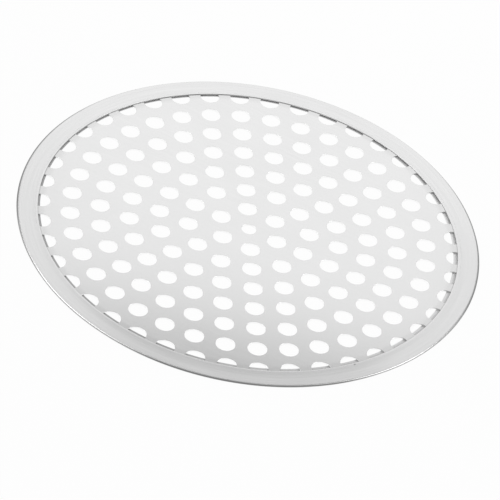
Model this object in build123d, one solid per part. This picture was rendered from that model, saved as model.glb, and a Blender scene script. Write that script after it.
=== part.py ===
from build123d import *
import math
import os

# Flat perforated pizza pan in millimetres: a punched disc held in a folded rim band.
# The origin is on the surface that the pan rests on, below the middle of the disc, with +Z up.

pan_diameter = 304.8

# Punched disc: a hole in the middle, then rings of vent holes, each ring with one more hole
# in every sector than the ring inside it. The holes are drawn with flat sides.
disc_thickness = 1.0
centre_hole_diameter = 9.8
vent_hole_diameter = 12.7
hole_sides = 12
first_ring_radius = 20.5
ring_count = 7
sectors = 6

# Rim band: a strip folded over the edge of the disc. Its upper lip covers a little less than
# the outer half of the last ring of holes, and the pan rests on its lower lip.
band_thickness = 0.5
upper_lip_width = 14.1
lower_lip_width = 16.15
last_ring_inset = 1.6

# Both lips are trimmed a little off centre, towards the same side of the pan.
trim_direction = 137.4
upper_trim_offset = 0.56
lower_trim_offset = 2.0

# Each ply lies flat on the disc, then slopes towards the other into a narrow hem, level with
# the top of the disc, where the strip folds over. The fold is drawn with flat sides too.
upper_hem_width = 1.5
upper_slope_run = 7.6
lower_hem_width = 2.6
lower_slope_run = 3.5
edge_clearance = 0.3
hem_gap = 0.5
fold_sides = 6

overrun = 2.0

disc_bottom = band_thickness
disc_top = disc_bottom + disc_thickness
disc_middle = (disc_bottom + disc_top) / 2
band_top = disc_top + band_thickness

pan_radius = pan_diameter / 2
upper_lip_radius = pan_radius - upper_lip_width
lower_lip_radius = pan_radius - lower_lip_width
upper_slope_start = pan_radius - upper_hem_width - upper_slope_run
lower_slope_start = pan_radius - lower_hem_width - lower_slope_run
disc_radius = lower_slope_start - edge_clearance

last_ring_radius = upper_lip_radius - last_ring_inset
ring_pitch = (last_ring_radius - first_ring_radius) / (ring_count - 1)

hem_middle = disc_top
upper_hem_level = hem_middle + hem_gap / 2
lower_hem_level = hem_middle - hem_gap / 2
hem_gap_end = pan_radius - band_thickness
fold_radius = hem_gap / 2 + band_thickness
fold_centre = pan_radius - fold_radius


def ring_radius(ring):
    """Distance from the middle of the disc to the hole centres of one ring."""
    return first_ring_radius + (ring - 1) * ring_pitch


def punched_hole(diameter):
    """One hole, with its flat sides touching the punched circle from outside."""
    RegularPolygon(diameter / 2, hole_sides, major_radius=False, mode=Mode.SUBTRACT)


def perforated_disc():
    """Flat sheet with its middle hole and its rings of vent holes."""
    with BuildPart() as disc:
        with BuildSketch(Plane.XY.offset(disc_bottom)):
            Circle(disc_radius)
            punched_hole(centre_hole_diameter)
            for ring in range(1, ring_count + 1):
                with PolarLocations(ring_radius(ring), sectors * ring):
                    punched_hole(vent_hole_diameter)
        extrude(amount=disc_thickness)
    return disc.part


def ply_face(start_radius, level, hem_level, slope_start, slope_run, shift):
    """One face of a ply: flat on the disc, sloped, and flat again in the hem.

    The face against the disc has no shift, and runs on to the end of the hem's gap. The other
    face is shifted by the thickness of the sheet, up or down, and ends where the fold begins.
    Its bends lie where they keep the slope that thick.
    """
    slope = math.atan2(hem_level - level, slope_run)
    bend_radius = slope_start - shift * math.tan(slope / 2)
    end_radius = fold_centre if shift else hem_gap_end
    Polyline(
        (start_radius, level + shift),
        (bend_radius, level + shift),
        (bend_radius + slope_run, hem_level + shift),
        (end_radius, hem_level + shift),
    )


def fold_point(side):
    """Corner of the fold after so many of its sides, counted up from below."""
    angle = math.pi * (side / fold_sides - 1 / 2)
    return (
        fold_centre + fold_radius * math.cos(angle),
        hem_middle + fold_radius * math.sin(angle),
    )


def band_section(start_radius):
    """Section of the folded strip, with both lips reaching in to the start radius."""
    for shift in (0, -band_thickness):
        ply_face(
            start_radius, disc_bottom, lower_hem_level, lower_slope_start, lower_slope_run, shift
        )
    for shift in (0, band_thickness):
        ply_face(start_radius, disc_top, upper_hem_level, upper_slope_start, upper_slope_run, shift)
    Line((hem_gap_end, lower_hem_level), (hem_gap_end, upper_hem_level))
    Polyline(*[fold_point(side) for side in range(fold_sides + 1)])
    Line((start_radius, disc_bottom - band_thickness), (start_radius, disc_bottom))
    Line((start_radius, disc_top), (start_radius, band_top))


def lip_opening(radius, trim_offset, depth):
    """Round cutter for one lip, up or down from the middle of the disc's thickness."""
    with BuildPart() as opening:
        with BuildSketch(Plane.XY.offset(disc_middle)):
            with PolarLocations(trim_offset, 1, start_angle=trim_direction):
                Circle(radius)
        extrude(amount=depth)
    return opening.part


def rim_band():
    """Folded strip turned round the pan, with its lips trimmed to their openings."""
    upper_reach = upper_lip_radius - upper_trim_offset
    lower_reach = lower_lip_radius - lower_trim_offset
    trim_depth = disc_thickness + band_thickness
    with BuildPart() as band:
        with BuildSketch(Plane.XZ):
            with BuildLine():
                band_section(min(upper_reach, lower_reach) - overrun)
            make_face()
        revolve(axis=Axis.Z)
        add(lip_opening(upper_lip_radius, upper_trim_offset, trim_depth), mode=Mode.SUBTRACT)
        add(lip_opening(lower_lip_radius, lower_trim_offset, -trim_depth), mode=Mode.SUBTRACT)
    return band.part


os.makedirs("parts", exist_ok=True)
export_step(perforated_disc(), "parts/perforated_disc.step")
export_step(rim_band(), "parts/rim_band.step")
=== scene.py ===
import math
from collections import namedtuple

import bpy
from mathutils import Matrix, Vector


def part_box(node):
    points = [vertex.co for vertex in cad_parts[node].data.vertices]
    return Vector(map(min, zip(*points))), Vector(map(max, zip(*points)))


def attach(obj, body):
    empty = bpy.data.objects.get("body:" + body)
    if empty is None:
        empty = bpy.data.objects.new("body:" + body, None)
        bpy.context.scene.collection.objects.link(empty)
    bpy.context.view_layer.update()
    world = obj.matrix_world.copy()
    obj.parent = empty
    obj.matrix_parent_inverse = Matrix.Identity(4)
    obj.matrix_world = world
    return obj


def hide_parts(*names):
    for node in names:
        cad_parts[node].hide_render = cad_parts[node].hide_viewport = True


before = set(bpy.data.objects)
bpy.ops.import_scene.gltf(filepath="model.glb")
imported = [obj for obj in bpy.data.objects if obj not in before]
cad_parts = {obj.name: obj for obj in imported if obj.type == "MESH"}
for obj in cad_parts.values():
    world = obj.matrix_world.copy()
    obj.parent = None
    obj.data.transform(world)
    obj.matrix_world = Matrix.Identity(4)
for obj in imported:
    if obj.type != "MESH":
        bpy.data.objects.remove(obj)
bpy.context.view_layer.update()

# Flat perforated pizza pan: a punched disc held in a folded rim band. Lengths are in metres.
mm = 0.001

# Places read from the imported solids.
band_low, band_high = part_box("rim_band")
disc_low, disc_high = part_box("perforated_disc")
pan_radius = band_high.x
disc_radius = disc_high.x
disc_bottom = disc_low.z
disc_top = disc_high.z
band_thickness = disc_bottom - band_low.z
lip_top = disc_top + band_thickness

# Holes of the disc: one in the middle, then rings of vent holes.
centre_hole_radius = 4.9 * mm
vent_hole_radius = 6.35 * mm
first_ring_radius = 20.5 * mm
last_ring_radius = 136.7 * mm
ring_count = 7
sectors = 6
hole_sides = 32
edge_roll = 0.08 * mm
roll_steps = 2
disc_sides = 180

# Lips of the band, trimmed a little off centre towards the same side.
upper_lip_radius = 138.3 * mm
lower_lip_radius = 136.25 * mm
trim_direction = math.radians(137.4)
upper_trim_offset = 0.56 * mm
lower_trim_offset = 2.0 * mm
lip_ease = 0.35 * mm
lip_fall = 0.02 * mm
lip_fall_run = 1.6 * mm
lip_fall_ease = 0.7 * mm

# Slopes of the two plies, out to the narrow hem and its fold.
upper_slope_start = 143.3 * mm
upper_slope_run = 7.6 * mm
upper_slope_ease = 3.0 * mm
lower_slope_start = 146.3 * mm
lower_slope_run = 3.5 * mm
lower_slope_ease = 1.2 * mm
hem_gap = 0.5 * mm
hem_ease = 0.3 * mm
fold_radius = band_thickness + hem_gap / 2
fold_reach = 1.2 * mm
hem_middle = band_high.z - fold_radius
fold_centre = pan_radius - fold_radius
fold_steps = 16
ease_steps = 4
band_sides = 240

# Meshes: places closer than this are one, and faces this level are shaded flat.
weld_reach = 0.001 * mm
level_normal = 0.99999
smooth_angle = math.radians(35)

# Stretches of the rim: the angle of the middle of each and its reach to both sides. The painted
# shade on the fold is left off in two of them, one is duller with painted shade, in one the inner
# side of the lower ply has painted shade, and in one the cut edge of the upper lip stays bright.
unshaded_fold_stretches = [
    (math.radians(-118.2), math.radians(36)),
    (math.radians(-16.2), math.radians(26)),
]
dull_and_shaded_stretch = (math.radians(-65.2), math.radians(45))
shaded_ledge_stretch = (math.radians(-125), math.radians(64))
bright_stretch = (math.radians(74.8), math.radians(60))

# Radii between which the painted shade on the fold comes in.
fold_shade_start = fold_centre - fold_radius * 0.1
fold_shade_full = fold_centre + fold_radius * 0.5

# Depths over which one finish passes into another.
skin = 0.1 * mm
cover_blur = 0.3 * mm

# The walls of the holes have a painted highlight. Past this radius they have the sheet's grey,
# after a fade.
wall_highlight_end = 137.5 * mm
wall_highlight_fade = 2.0 * mm

# The disc has painted shade beside the upper lip, and a thin dark line along it: where each mark
# comes in and where it is full, counted inwards from the lip's edge.
painted_lip_shade_span = (6.0 * mm, 2.0 * mm)
lip_line_span = (0.8 * mm, 0.3 * mm)

# The lower ply's inner side is dull outside this circle, towards the crease of the fold.
crease_place = (0.72 * mm, 1.22 * mm)
crease_radius = 135.56 * mm

# A small nick in the upper lip, close to its edge.
nick_place = (116.0 * mm, -76.8 * mm)
nick_reach = 0.9 * mm

# Noise: the grain runs straight and the lines run round the rim, each much finer across than
# along. The clouds are broad and soft, and the specks are fine.
grain_scale = 30.0
grain_fineness = 30.0
line_scale = 2.2
line_fineness = 350.0
sheet_cloud_scale = 28.0
band_cloud_scale = 35.0
speck_scale = 1400.0
soft_detail = 2.0
streak_detail = 4.0

# Depth of the surface's fine relief, and the share that the specks have in it.
sheet_relief = 0.002 * mm
band_relief = 0.003 * mm
speck_share = 0.3

Tone = namedtuple("Tone", "grey roughness")

# The bare sheet of the disc, and what each mark at full strength adds to it.
bare_sheet = Tone(0.83, 0.20)
sheet_grain = Tone(0.07, 0.05)
sheet_cloud = Tone(0.05, 0.03)
# Painted highlight on the walls of the holes.
painted_wall_highlight = Tone(0.14, 0)
# Painted shade on the disc beside the upper lip.
painted_lip_shade = Tone(-0.06, 0)
lip_line = Tone(-0.13, 0)

# The bare sheet of the band, and what each mark at full strength adds to it.
bare_band = Tone(0.82, 0.225)
band_lines = Tone(0.14, 0.05)
band_cloud = Tone(0.04, 0.03)
# Painted shade on the fold at the pan's edge.
painted_fold_shade = Tone(-0.42, 0.08)
cut_edge = Tone(-0.28, 0)
dark_nick = Tone(-0.3, 0)
# Painted shade on the lower ply's inner side in one stretch.
painted_ledge_shade = Tone(-0.24, 0)
# Painted shade on one duller stretch of the rim.
painted_stretch_shade = Tone(-0.05, 0)
dull_sheen = Tone(0, 0.03)
inner_side = Tone(0, 0.06)
dull_side = Tone(0, 0.25)

# Share of the lower ply's dull inner side that doesn't shine as metal.
dull_cover = 0.7

# Camera at the photograph's viewing angle, with the disc a little off its middle.
view_azimuth = math.radians(19.82)
view_elevation = math.radians(39.41)
view_roll = math.radians(11.76)
view_lens = 351.45
view_distance = 3.17617
disc_right_of_view = -0.000694
disc_above_view = 0.013557

# Floor, just under the pan, and the level of the room round it.
floor_size = 8.0
floor_drop = 0.02 * mm
floor_grey = 0.9
floor_shadow_share = 0.03
room_level = 0.43

Ring = namedtuple("Ring", "radius height offset")


class Number:
    """A value socket whose Python operators add Math nodes to its material."""

    def __init__(self, socket):
        self.socket = socket

    def maths(self, operation, *values):
        node = self.socket.node.id_data.nodes.new("ShaderNodeMath")
        node.operation = operation
        for port, value in zip(node.inputs, (self, *values)):
            connect(port, value)
        return Number(node.outputs[0])

    def __add__(self, other):
        return self.maths("ADD", other)

    def __radd__(self, other):
        return self.maths("ADD", other)

    def __sub__(self, other):
        return self.maths("SUBTRACT", other)

    def __rsub__(self, other):
        return (self * -1) + other

    def __mul__(self, other):
        return self.maths("MULTIPLY", other)

    def __truediv__(self, other):
        return self.maths("DIVIDE", other)

    def root(self):
        return self.maths("SQRT")

    def clear_of(self, start, end):
        """0 up to the start, 1 past the end, and a smooth step between them."""
        node = self.socket.node.id_data.nodes.new("ShaderNodeMapRange")
        node.interpolation_type = "SMOOTHSTEP"
        connect(node.inputs["Value"], self)
        connect(node.inputs["From Min"], start)
        connect(node.inputs["From Max"], end)
        return Number(node.outputs["Result"])


def connect(port, value):
    """Links a socket to a port, or writes a plain value on it."""
    if isinstance(value, Number):
        value = value.socket
    if isinstance(value, bpy.types.NodeSocket):
        port.id_data.links.new(value, port)
    else:
        port.default_value = value


class Finish:
    """A material and its nodes."""

    def __init__(self, name):
        self.material = bpy.data.materials.new(name)
        self.material.use_nodes = True
        self.nodes = self.material.node_tree.nodes
        self.nodes.clear()

    def node(self, kind, **values):
        """A node of one type, with values or links on its sockets."""
        node = self.nodes.new(kind)
        for name, value in values.items():
            connect(node.inputs[name.replace("_", " ")], value)
        return node

    def place(self):
        """Position on the piece as a vector and as its three numbers."""
        vector = self.node("ShaderNodeTexCoord").outputs["Object"]
        split = self.node("ShaderNodeSeparateXYZ", Vector=vector)
        return (vector, *[Number(port) for port in split.outputs])

    def noise(self, vector, scale, detail=soft_detail):
        """Soft noise about zero."""
        node = self.node("ShaderNodeTexNoise", Vector=vector, Scale=scale, Detail=detail)
        return Number(node.outputs["Fac"]) - 0.5

    def metal(self, grey, roughness, height, relief, metallic=1.0):
        """Bare metal whose grey, roughness and height vary over the surface."""
        shade = self.node("ShaderNodeCombineColor", Red=grey, Green=grey, Blue=grey)
        bump = self.node("ShaderNodeBump", Distance=relief, Height=height)
        surface = self.node(
            "ShaderNodeBsdfPrincipled",
            Metallic=metallic,
            Base_Color=shade.outputs["Color"],
            Roughness=roughness,
            Normal=bump.outputs["Normal"],
        )
        output = self.node("ShaderNodeOutputMaterial")
        connect(output.inputs["Surface"], surface.outputs["BSDF"])
        return self.material


def trimmed(offset):
    """Shift across the pan in the direction that the lips are trimmed towards."""
    return (offset * math.cos(trim_direction), offset * math.sin(trim_direction))


def distance(across, along, middle=(0, 0)):
    """Distance of a place from a middle, in the plane of the pan."""
    across = across - middle[0]
    along = along - middle[1]
    return (across * across + along * along).root()


def stretch(across, along, middle, reach):
    """Share that a stretch of the rim has in a place, fading out towards its two ends."""
    toward_middle = across * math.cos(middle) + along * math.sin(middle)
    toward_middle = toward_middle / distance(across, along)
    return toward_middle.clear_of(math.cos(reach), math.cos(reach / 2))


def marked(bare, *marks):
    """Grey and roughness of a bare metal with its marks, each a share paired with its tone."""
    grey, roughness = bare
    for share, tone in marks:
        if tone.grey:
            grey = grey + share * tone.grey
        if tone.roughness:
            roughness = roughness + share * tone.roughness
    return grey, roughness


def rolled_sheet():
    """Satin aluminium of the disc, with the faint straight grain of rolled sheet.

    The walls of the holes, cut by the punch, have a painted highlight that makes them brighter
    than the sheet's faces, and the sheet has painted shade beside the upper lip, with a thin dark
    line along the lip's edge.
    """
    finish = Finish("rolled_sheet")
    place, across, along, up = finish.place()
    drawn = finish.node("ShaderNodeMapping", Vector=place, Scale=(1.0, grain_fineness, 1.0))
    grain = finish.noise(drawn.outputs["Vector"], grain_scale, streak_detail)
    cloud = finish.noise(place, sheet_cloud_scale)
    speck = finish.noise(place, speck_scale)

    # Where the hole walls are, which get the painted highlight.
    above_bottom = up.clear_of(disc_bottom, disc_bottom + skin)
    below_top = 1 - up.clear_of(disc_top - skin, disc_top)
    past_end = distance(across, along).clear_of(
        wall_highlight_end - wall_highlight_fade, wall_highlight_end
    )
    wall = above_bottom * below_top * (1 - past_end)

    # Painted shade on the disc beside the upper lip, and a thin dark line along the lip's edge.
    from_opening = distance(across, along, trimmed(upper_trim_offset))
    shade_start, shade_full = painted_lip_shade_span
    shade = from_opening.clear_of(upper_lip_radius - shade_start, upper_lip_radius - shade_full)
    line_start, line_full = lip_line_span
    line = from_opening.clear_of(upper_lip_radius - line_start, upper_lip_radius - line_full)
    line = line * (1 - stretch(across, along, *bright_stretch))

    face = 1 - wall
    grey, roughness = marked(
        bare_sheet,
        (grain, sheet_grain),
        (cloud, sheet_cloud),
        (wall, painted_wall_highlight),
        (shade * face, painted_lip_shade),
        (line * face, lip_line),
    )
    return finish.metal(grey, roughness, grain + speck * speck_share, sheet_relief)


def turned_band():
    """Satin aluminium of the band, with faint lines along the rim.

    Its fold has painted shade at the pan's edge, its side against the disc is dull with painted
    shade in part, one stretch is duller with painted shade, and its upper lip has a dark cut
    edge and a small nick.
    """
    finish = Finish("turned_band")
    place, across, along, up = finish.place()
    radius = distance(across, along)
    around = finish.node(
        "ShaderNodeCombineXYZ", X=across / radius, Y=along / radius, Z=radius * line_fineness
    )
    lines = finish.noise(around.outputs["Vector"], line_scale, streak_detail)
    cloud = finish.noise(place, band_cloud_scale)
    speck = finish.noise(place, speck_scale)

    # Painted shade on the fold at the pan's edge, left off in two stretches of the rim.
    fold_shade = radius.clear_of(fold_shade_start, fold_shade_full)
    for unshaded_stretch in unshaded_fold_stretches:
        fold_shade = fold_shade * (1 - stretch(across, along, *unshaded_stretch))
    # One duller stretch of the rim, which also gets painted shade.
    duller_and_shaded = stretch(across, along, *dull_and_shaded_stretch)

    from_crease = distance(across, along, crease_place)
    covered = from_crease.clear_of(crease_radius - cover_blur, crease_radius + cover_blur)
    above_lower_ply = up.clear_of(disc_bottom - skin, disc_bottom)
    below_upper_ply = 1 - up.clear_of(disc_top, disc_top + skin)
    before_slope = 1 - radius.clear_of(upper_slope_start, lower_slope_start)
    inner = above_lower_ply * below_upper_ply * before_slope
    dull = covered * inner
    # Painted shade on the lower ply's inner side in one stretch of the rim.
    shaded_ledge = dull * stretch(across, along, *shaded_ledge_stretch)

    above = up.clear_of(disc_top, disc_top + skin)
    from_opening = distance(across, along, trimmed(upper_trim_offset))
    cut = above * (1 - from_opening.clear_of(upper_lip_radius, upper_lip_radius + lip_ease))
    cut = cut * (1 - stretch(across, along, *bright_stretch))
    from_nick = distance(across, along, nick_place)
    nick = above * (1 - from_nick.clear_of(nick_reach / 2, nick_reach))

    grey, roughness = marked(
        bare_band,
        (lines, band_lines),
        (cloud, band_cloud),
        (fold_shade, painted_fold_shade),
        (cut, cut_edge),
        (nick, dark_nick),
        (shaded_ledge, painted_ledge_shade),
        (duller_and_shaded * (1 - fold_shade), painted_stretch_shade),
        (inner, inner_side),
        (dull, dull_side),
        (duller_and_shaded, dull_sheen),
    )
    metallic = 1 - dull * dull_cover
    return finish.metal(grey, roughness, lines + speck * speck_share, band_relief, metallic)


def pale_floor():
    """Plain white floor that keeps part of the pan's shadow, and is open from below."""
    finish = Finish("pale_floor")
    rays = finish.node("ShaderNodeLightPath").outputs
    shown = Number(rays["Is Camera Ray"]).maths("MAXIMUM", rays["Is Glossy Ray"])
    shown = shown.maths("MAXIMUM", rays["Is Transmission Ray"])
    white = finish.node("ShaderNodeEmission", Color=(1, 1, 1, 1), Strength=1.0)
    matt = finish.node("ShaderNodeBsdfDiffuse", Color=(*[floor_grey] * 3, 1))
    open_air = finish.node("ShaderNodeBsdfTransparent")
    back = finish.node("ShaderNodeNewGeometry").outputs["Backfacing"]
    top = finish.node("ShaderNodeMixShader", Fac=shown * (1 - floor_shadow_share))
    connect(top.inputs[1], matt.outputs[0])
    connect(top.inputs[2], white.outputs[0])
    both = finish.node("ShaderNodeMixShader", Fac=back)
    connect(both.inputs[1], top.outputs[0])
    connect(both.inputs[2], open_air.outputs[0])
    output = finish.node("ShaderNodeOutputMaterial")
    connect(output.inputs["Surface"], both.outputs[0])
    return finish.material


def deselect():
    bpy.ops.object.select_all(action="DESELECT")


def turned(name, sides, rings):
    """Skin turned round the pan: a ring of edges extruded through the rings of a section."""
    first = rings[0]
    deselect()
    bpy.ops.mesh.primitive_circle_add(vertices=sides, radius=first.radius)
    piece = bpy.context.object
    piece.name = name
    piece.data.name = name
    bpy.ops.object.mode_set(mode="EDIT")
    bpy.ops.mesh.select_all(action="SELECT")
    bpy.ops.transform.translate(value=(*trimmed(first.offset), first.height))
    for last, ring in zip(rings, rings[1:]):
        move = (*trimmed(ring.offset - last.offset), ring.height - last.height)
        share = ring.radius / last.radius
        bpy.ops.mesh.extrude_region_move(TRANSFORM_OT_translate={"value": move})
        bpy.ops.transform.resize(
            value=(share, share, 1), center_override=(*trimmed(ring.offset), ring.height)
        )
    bpy.ops.object.mode_set(mode="OBJECT")
    return piece


def arc(centre_radius, centre_height, reach, rise, start, turn, steps):
    """Rings along an oval arc of a section, from a start angle through a turn, in degrees."""
    angles = [math.radians(start + turn * step / steps) for step in range(steps + 1)]
    return [
        Ring(centre_radius + reach * math.cos(a), centre_height + rise * math.sin(a), 0)
        for a in angles
    ]


def copy_at(piece, x, y):
    """Copy of a piece with its own mesh, moved across the pan."""
    copy = piece.copy()
    copy.data = piece.data.copy()
    copy.data.transform(Matrix.Translation((x, y, 0)))
    bpy.context.scene.collection.objects.link(copy)
    return copy


def fill_level(piece, height):
    """Closes the flat face between all the open rings at one height."""
    bpy.ops.object.mode_set(mode="EDIT")
    bpy.ops.mesh.select_mode(type="VERT")
    bpy.ops.mesh.select_all(action="DESELECT")
    bpy.ops.object.mode_set(mode="OBJECT")
    for vertex in piece.data.vertices:
        vertex.select = abs(vertex.co.z - height) < weld_reach
    bpy.ops.object.mode_set(mode="EDIT")
    bpy.ops.mesh.fill(use_beauty=True)
    bpy.ops.object.mode_set(mode="OBJECT")


def close_and_smooth(piece):
    """Merges what meets, turns the faces outwards and smooths the rounded parts."""
    deselect()
    piece.select_set(True)
    bpy.context.view_layer.objects.active = piece
    bpy.ops.object.mode_set(mode="EDIT")
    bpy.ops.mesh.select_all(action="SELECT")
    bpy.ops.mesh.remove_doubles(threshold=weld_reach)
    bpy.ops.mesh.normals_make_consistent(inside=False)
    bpy.ops.object.mode_set(mode="OBJECT")
    bpy.ops.object.shade_smooth_by_angle(angle=smooth_angle)
    for face in piece.data.polygons:
        if abs(face.normal.z) > level_normal:
            face.use_smooth = False


def hole_wall(name, radius):
    """Wall of one punched hole, with its upper edge rolled over by the punch."""
    roll = arc(
        radius + edge_roll, disc_top - edge_roll, edge_roll, edge_roll, 90, 90, roll_steps
    )
    return turned(name, hole_sides, [*roll, Ring(radius, disc_bottom, 0)])


def punched_disc():
    """Flat disc with its middle hole and its rings of vent holes."""
    disc = turned(
        "punched_disc",
        disc_sides,
        [Ring(disc_radius, disc_top, 0), Ring(disc_radius, disc_bottom, 0)],
    )
    pattern = hole_wall("vent_hole", vent_hole_radius)
    walls = [hole_wall("centre_hole", centre_hole_radius)]
    ring_pitch = (last_ring_radius - first_ring_radius) / (ring_count - 1)
    for ring in range(1, ring_count + 1):
        radius = first_ring_radius + (ring - 1) * ring_pitch
        for hole in range(sectors * ring):
            angle = math.tau * hole / (sectors * ring)
            walls.append(copy_at(pattern, radius * math.cos(angle), radius * math.sin(angle)))
    bpy.data.objects.remove(pattern)
    deselect()
    for wall in walls:
        wall.select_set(True)
    disc.select_set(True)
    bpy.context.view_layer.objects.active = disc
    bpy.ops.object.join()
    fill_level(disc, disc_top)
    fill_level(disc, disc_bottom)
    close_and_smooth(disc)
    return disc


def toward(corner, other, reach):
    """Point on the way from a corner of a section to its neighbour."""
    across = other.radius - corner.radius
    rise = other.height - corner.height
    share = reach / math.hypot(across, rise)
    return Ring(corner.radius + across * share, corner.height + rise * share, corner.offset)


def eased(before, corner, after, reach):
    """Rings that round one corner of a section, keeping the corner's own offset."""
    start = toward(corner, before, reach)
    end = toward(corner, after, reach)
    rings = []
    for step in range(ease_steps + 1):
        t = step / ease_steps
        shares = ((1 - t) ** 2, 2 * t * (1 - t), t**2)
        radius = sum(share * ring.radius for share, ring in zip(shares, (start, corner, end)))
        height = sum(share * ring.height for share, ring in zip(shares, (start, corner, end)))
        rings.append(Ring(radius, height, corner.offset))
    return rings


def rounded(corners):
    """Section through its corners, each rounded over the reach that is paired with it."""
    rings = []
    for number, (corner, reach) in enumerate(corners):
        if reach:
            before = corners[number - 1][0]
            after = corners[number + 1][0]
            rings += eased(before, corner, after, reach)
        else:
            rings.append(corner)
    return rings


def ply_bends(level, hem_level, slope_start, slope_run, shift):
    """The two bends of a ply's face, which is shifted by the thickness of the sheet."""
    slope = math.atan2(hem_level - level, slope_run)
    bend = slope_start - shift * math.tan(slope / 2)
    return [Ring(bend, level + shift, 0), Ring(bend + slope_run, hem_level + shift, 0)]


def folded_band():
    """Strip folded over the disc's edge: two lips, two sloped plies and a narrow rounded hem."""
    upper = (disc_top, hem_middle + hem_gap / 2, upper_slope_start, upper_slope_run)
    lower = (disc_bottom, hem_middle - hem_gap / 2, lower_slope_start, lower_slope_run)
    upper_bend, upper_hem = ply_bends(*upper, band_thickness)
    lower_bend, lower_hem = ply_bends(*lower, -band_thickness)
    fold = arc(pan_radius - fold_reach, hem_middle, fold_reach, fold_radius, 90, -180, fold_steps)
    gap_end = arc(fold_centre, hem_middle, hem_gap / 2, hem_gap / 2, -90, 180, fold_steps // 2)
    corners = [
        (Ring(upper_lip_radius, disc_top, upper_trim_offset), 0),
        (Ring(upper_lip_radius, lip_top - lip_fall, upper_trim_offset), lip_ease),
        (Ring(upper_lip_radius + lip_fall_run, lip_top, upper_trim_offset), lip_fall_ease),
        (upper_bend, upper_slope_ease),
        (upper_hem, hem_ease),
        *[(ring, 0) for ring in fold],
        (lower_hem, hem_ease),
        (lower_bend, lower_slope_ease),
        (Ring(lower_lip_radius, band_low.z, lower_trim_offset), lip_ease),
        (Ring(lower_lip_radius, disc_bottom, lower_trim_offset), 0),
        *[(ring, 0) for ring in ply_bends(*lower, 0)],
        *[(ring, 0) for ring in gap_end],
        *[(ring, 0) for ring in reversed(ply_bends(*upper, 0))],
    ]
    section = rounded(corners)
    band = turned("folded_band", band_sides, [*section, section[0]])
    close_and_smooth(band)
    return band


def dress(piece, material, node):
    """Gives a finished piece its material and lets it stand for its solid."""
    piece.data.materials.clear()
    piece.data.materials.append(material)
    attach(piece, "root")
    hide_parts(node)


def floor_under_pan():
    """Large plain floor just under the pan."""
    deselect()
    bpy.ops.mesh.primitive_plane_add(size=floor_size, location=(0, 0, band_low.z - floor_drop))
    floor = bpy.context.object
    floor.name = "floor"
    bpy.ops.object.transform_apply(location=True)
    floor.data.materials.append(pale_floor())


def photo_camera():
    """Camera at the photograph's viewing angle, turned a little about its own axis."""
    level_right = Vector((math.cos(view_azimuth), math.sin(view_azimuth), 0))
    out = Vector((math.sin(view_azimuth), -math.cos(view_azimuth), 0))
    back = out * math.cos(view_elevation) + Vector((0, 0, math.sin(view_elevation)))
    level_up = back.cross(level_right)
    right = level_right * math.cos(view_roll) + level_up * math.sin(view_roll)
    up = level_up * math.cos(view_roll) - level_right * math.sin(view_roll)
    data = bpy.data.cameras.new("photo_camera")
    data.lens = view_lens
    camera = bpy.data.objects.new("photo_camera", data)
    bpy.context.scene.collection.objects.link(camera)
    middle = Vector((0, 0, disc_top))
    place = middle + back * view_distance - right * disc_right_of_view - up * disc_above_view
    turn = Matrix((right, up, back)).transposed().to_4x4()
    camera.matrix_world = Matrix.Translation(place) @ turn
    bpy.context.scene.camera = camera


def softbox(name, azimuth, away, lowest, width, height, level):
    """Upright soft panel facing the pan, from a direction counted as the camera's is."""
    data = bpy.data.lights.new(name, "AREA")
    data.shape = "RECTANGLE"
    data.size = width
    data.size_y = height
    data.energy = level * math.pi * width * height
    panel = bpy.data.objects.new(name, data)
    bpy.context.scene.collection.objects.link(panel)
    turn = view_azimuth + math.radians(azimuth)
    out = Vector((math.sin(turn), -math.cos(turn), 0))
    panel.location = out * away + Vector((0, 0, lowest + height / 2))
    panel.rotation_euler = (-out).to_track_quat("-Z", "Y").to_euler()
    panel.visible_camera = False


def studio_light():
    """Plain pale room with a large soft panel beyond the pan and one at each side."""
    world = bpy.data.worlds.new("studio")
    world.use_nodes = True
    background = world.node_tree.nodes["Background"]
    background.inputs["Color"].default_value = (1, 1, 1, 1)
    background.inputs["Strength"].default_value = room_level
    bpy.context.scene.world = world
    softbox("far_panel", azimuth=180, away=0.35, lowest=0.01, width=0.37, height=0.39, level=0.57)
    softbox("left_panel", azimuth=-128, away=0.45, lowest=0.46, width=0.40, height=0.84, level=1.65)
    softbox("right_panel", azimuth=120, away=0.45, lowest=0.45, width=0.30, height=0.50, level=2.3)


bpy.context.scene.view_settings.view_transform = "Standard"
photo_camera()
dress(punched_disc(), rolled_sheet(), "perforated_disc")
dress(folded_band(), turned_band(), "rim_band")
floor_under_pan()
studio_light()
